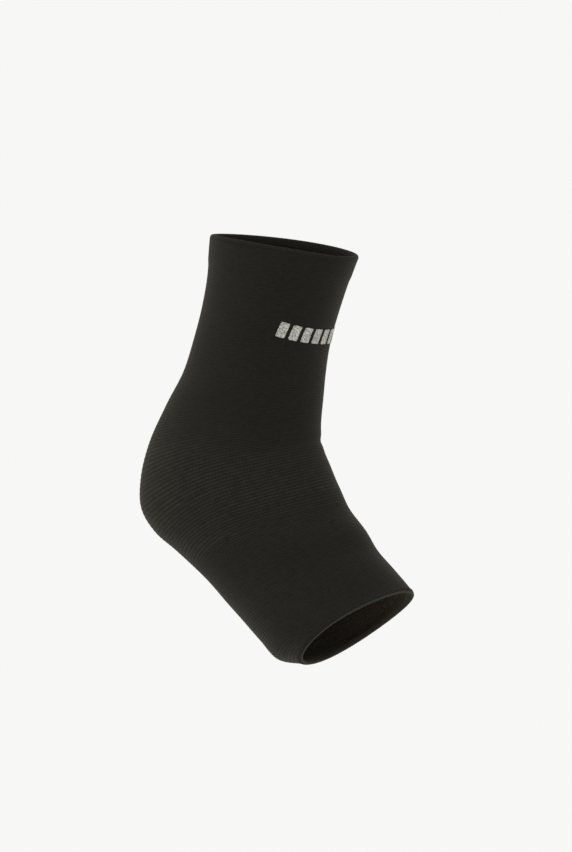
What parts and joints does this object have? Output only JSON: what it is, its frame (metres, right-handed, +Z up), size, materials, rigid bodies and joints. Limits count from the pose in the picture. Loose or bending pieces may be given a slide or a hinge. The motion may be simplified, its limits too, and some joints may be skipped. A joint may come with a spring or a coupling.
{
  "type": "ankle brace",
  "caption": "Black ribbed knit ankle sleeve with a closed heel, an open toe, turned edges and a row of plain printed bars.",
  "frame": {"origin": "the ankle centre inside the sleeve, where the leg part's middle line meets the foot part's middle line", "axes": "+Z up towards the leg opening, +X forward towards the toes, +Y to the side"},
  "size_m": [0.1723, 0.0722, 0.2446],
  "materials": {
    "knit": "matt black ribbed elastic knit",
    "turned_edge": "matt black ribbed elastic knit, turned and stitched",
    "print": "silver-grey textile ink, slightly speckled"
  },
  "bodies": {
    "root": {"knit_sleeve": "knit", "leg_turned_edge": "turned_edge", "foot_turned_edge": "turned_edge", "print_bar_1": "print", "print_bar_2": "print", "print_bar_3": "print", "print_bar_4": "print", "print_bar_5": "print", "print_bar_6": "print", "print_bar_7": "print", "print_bar_8": "print", "print_bar_9": "print"}
  },
  "joints": []
}
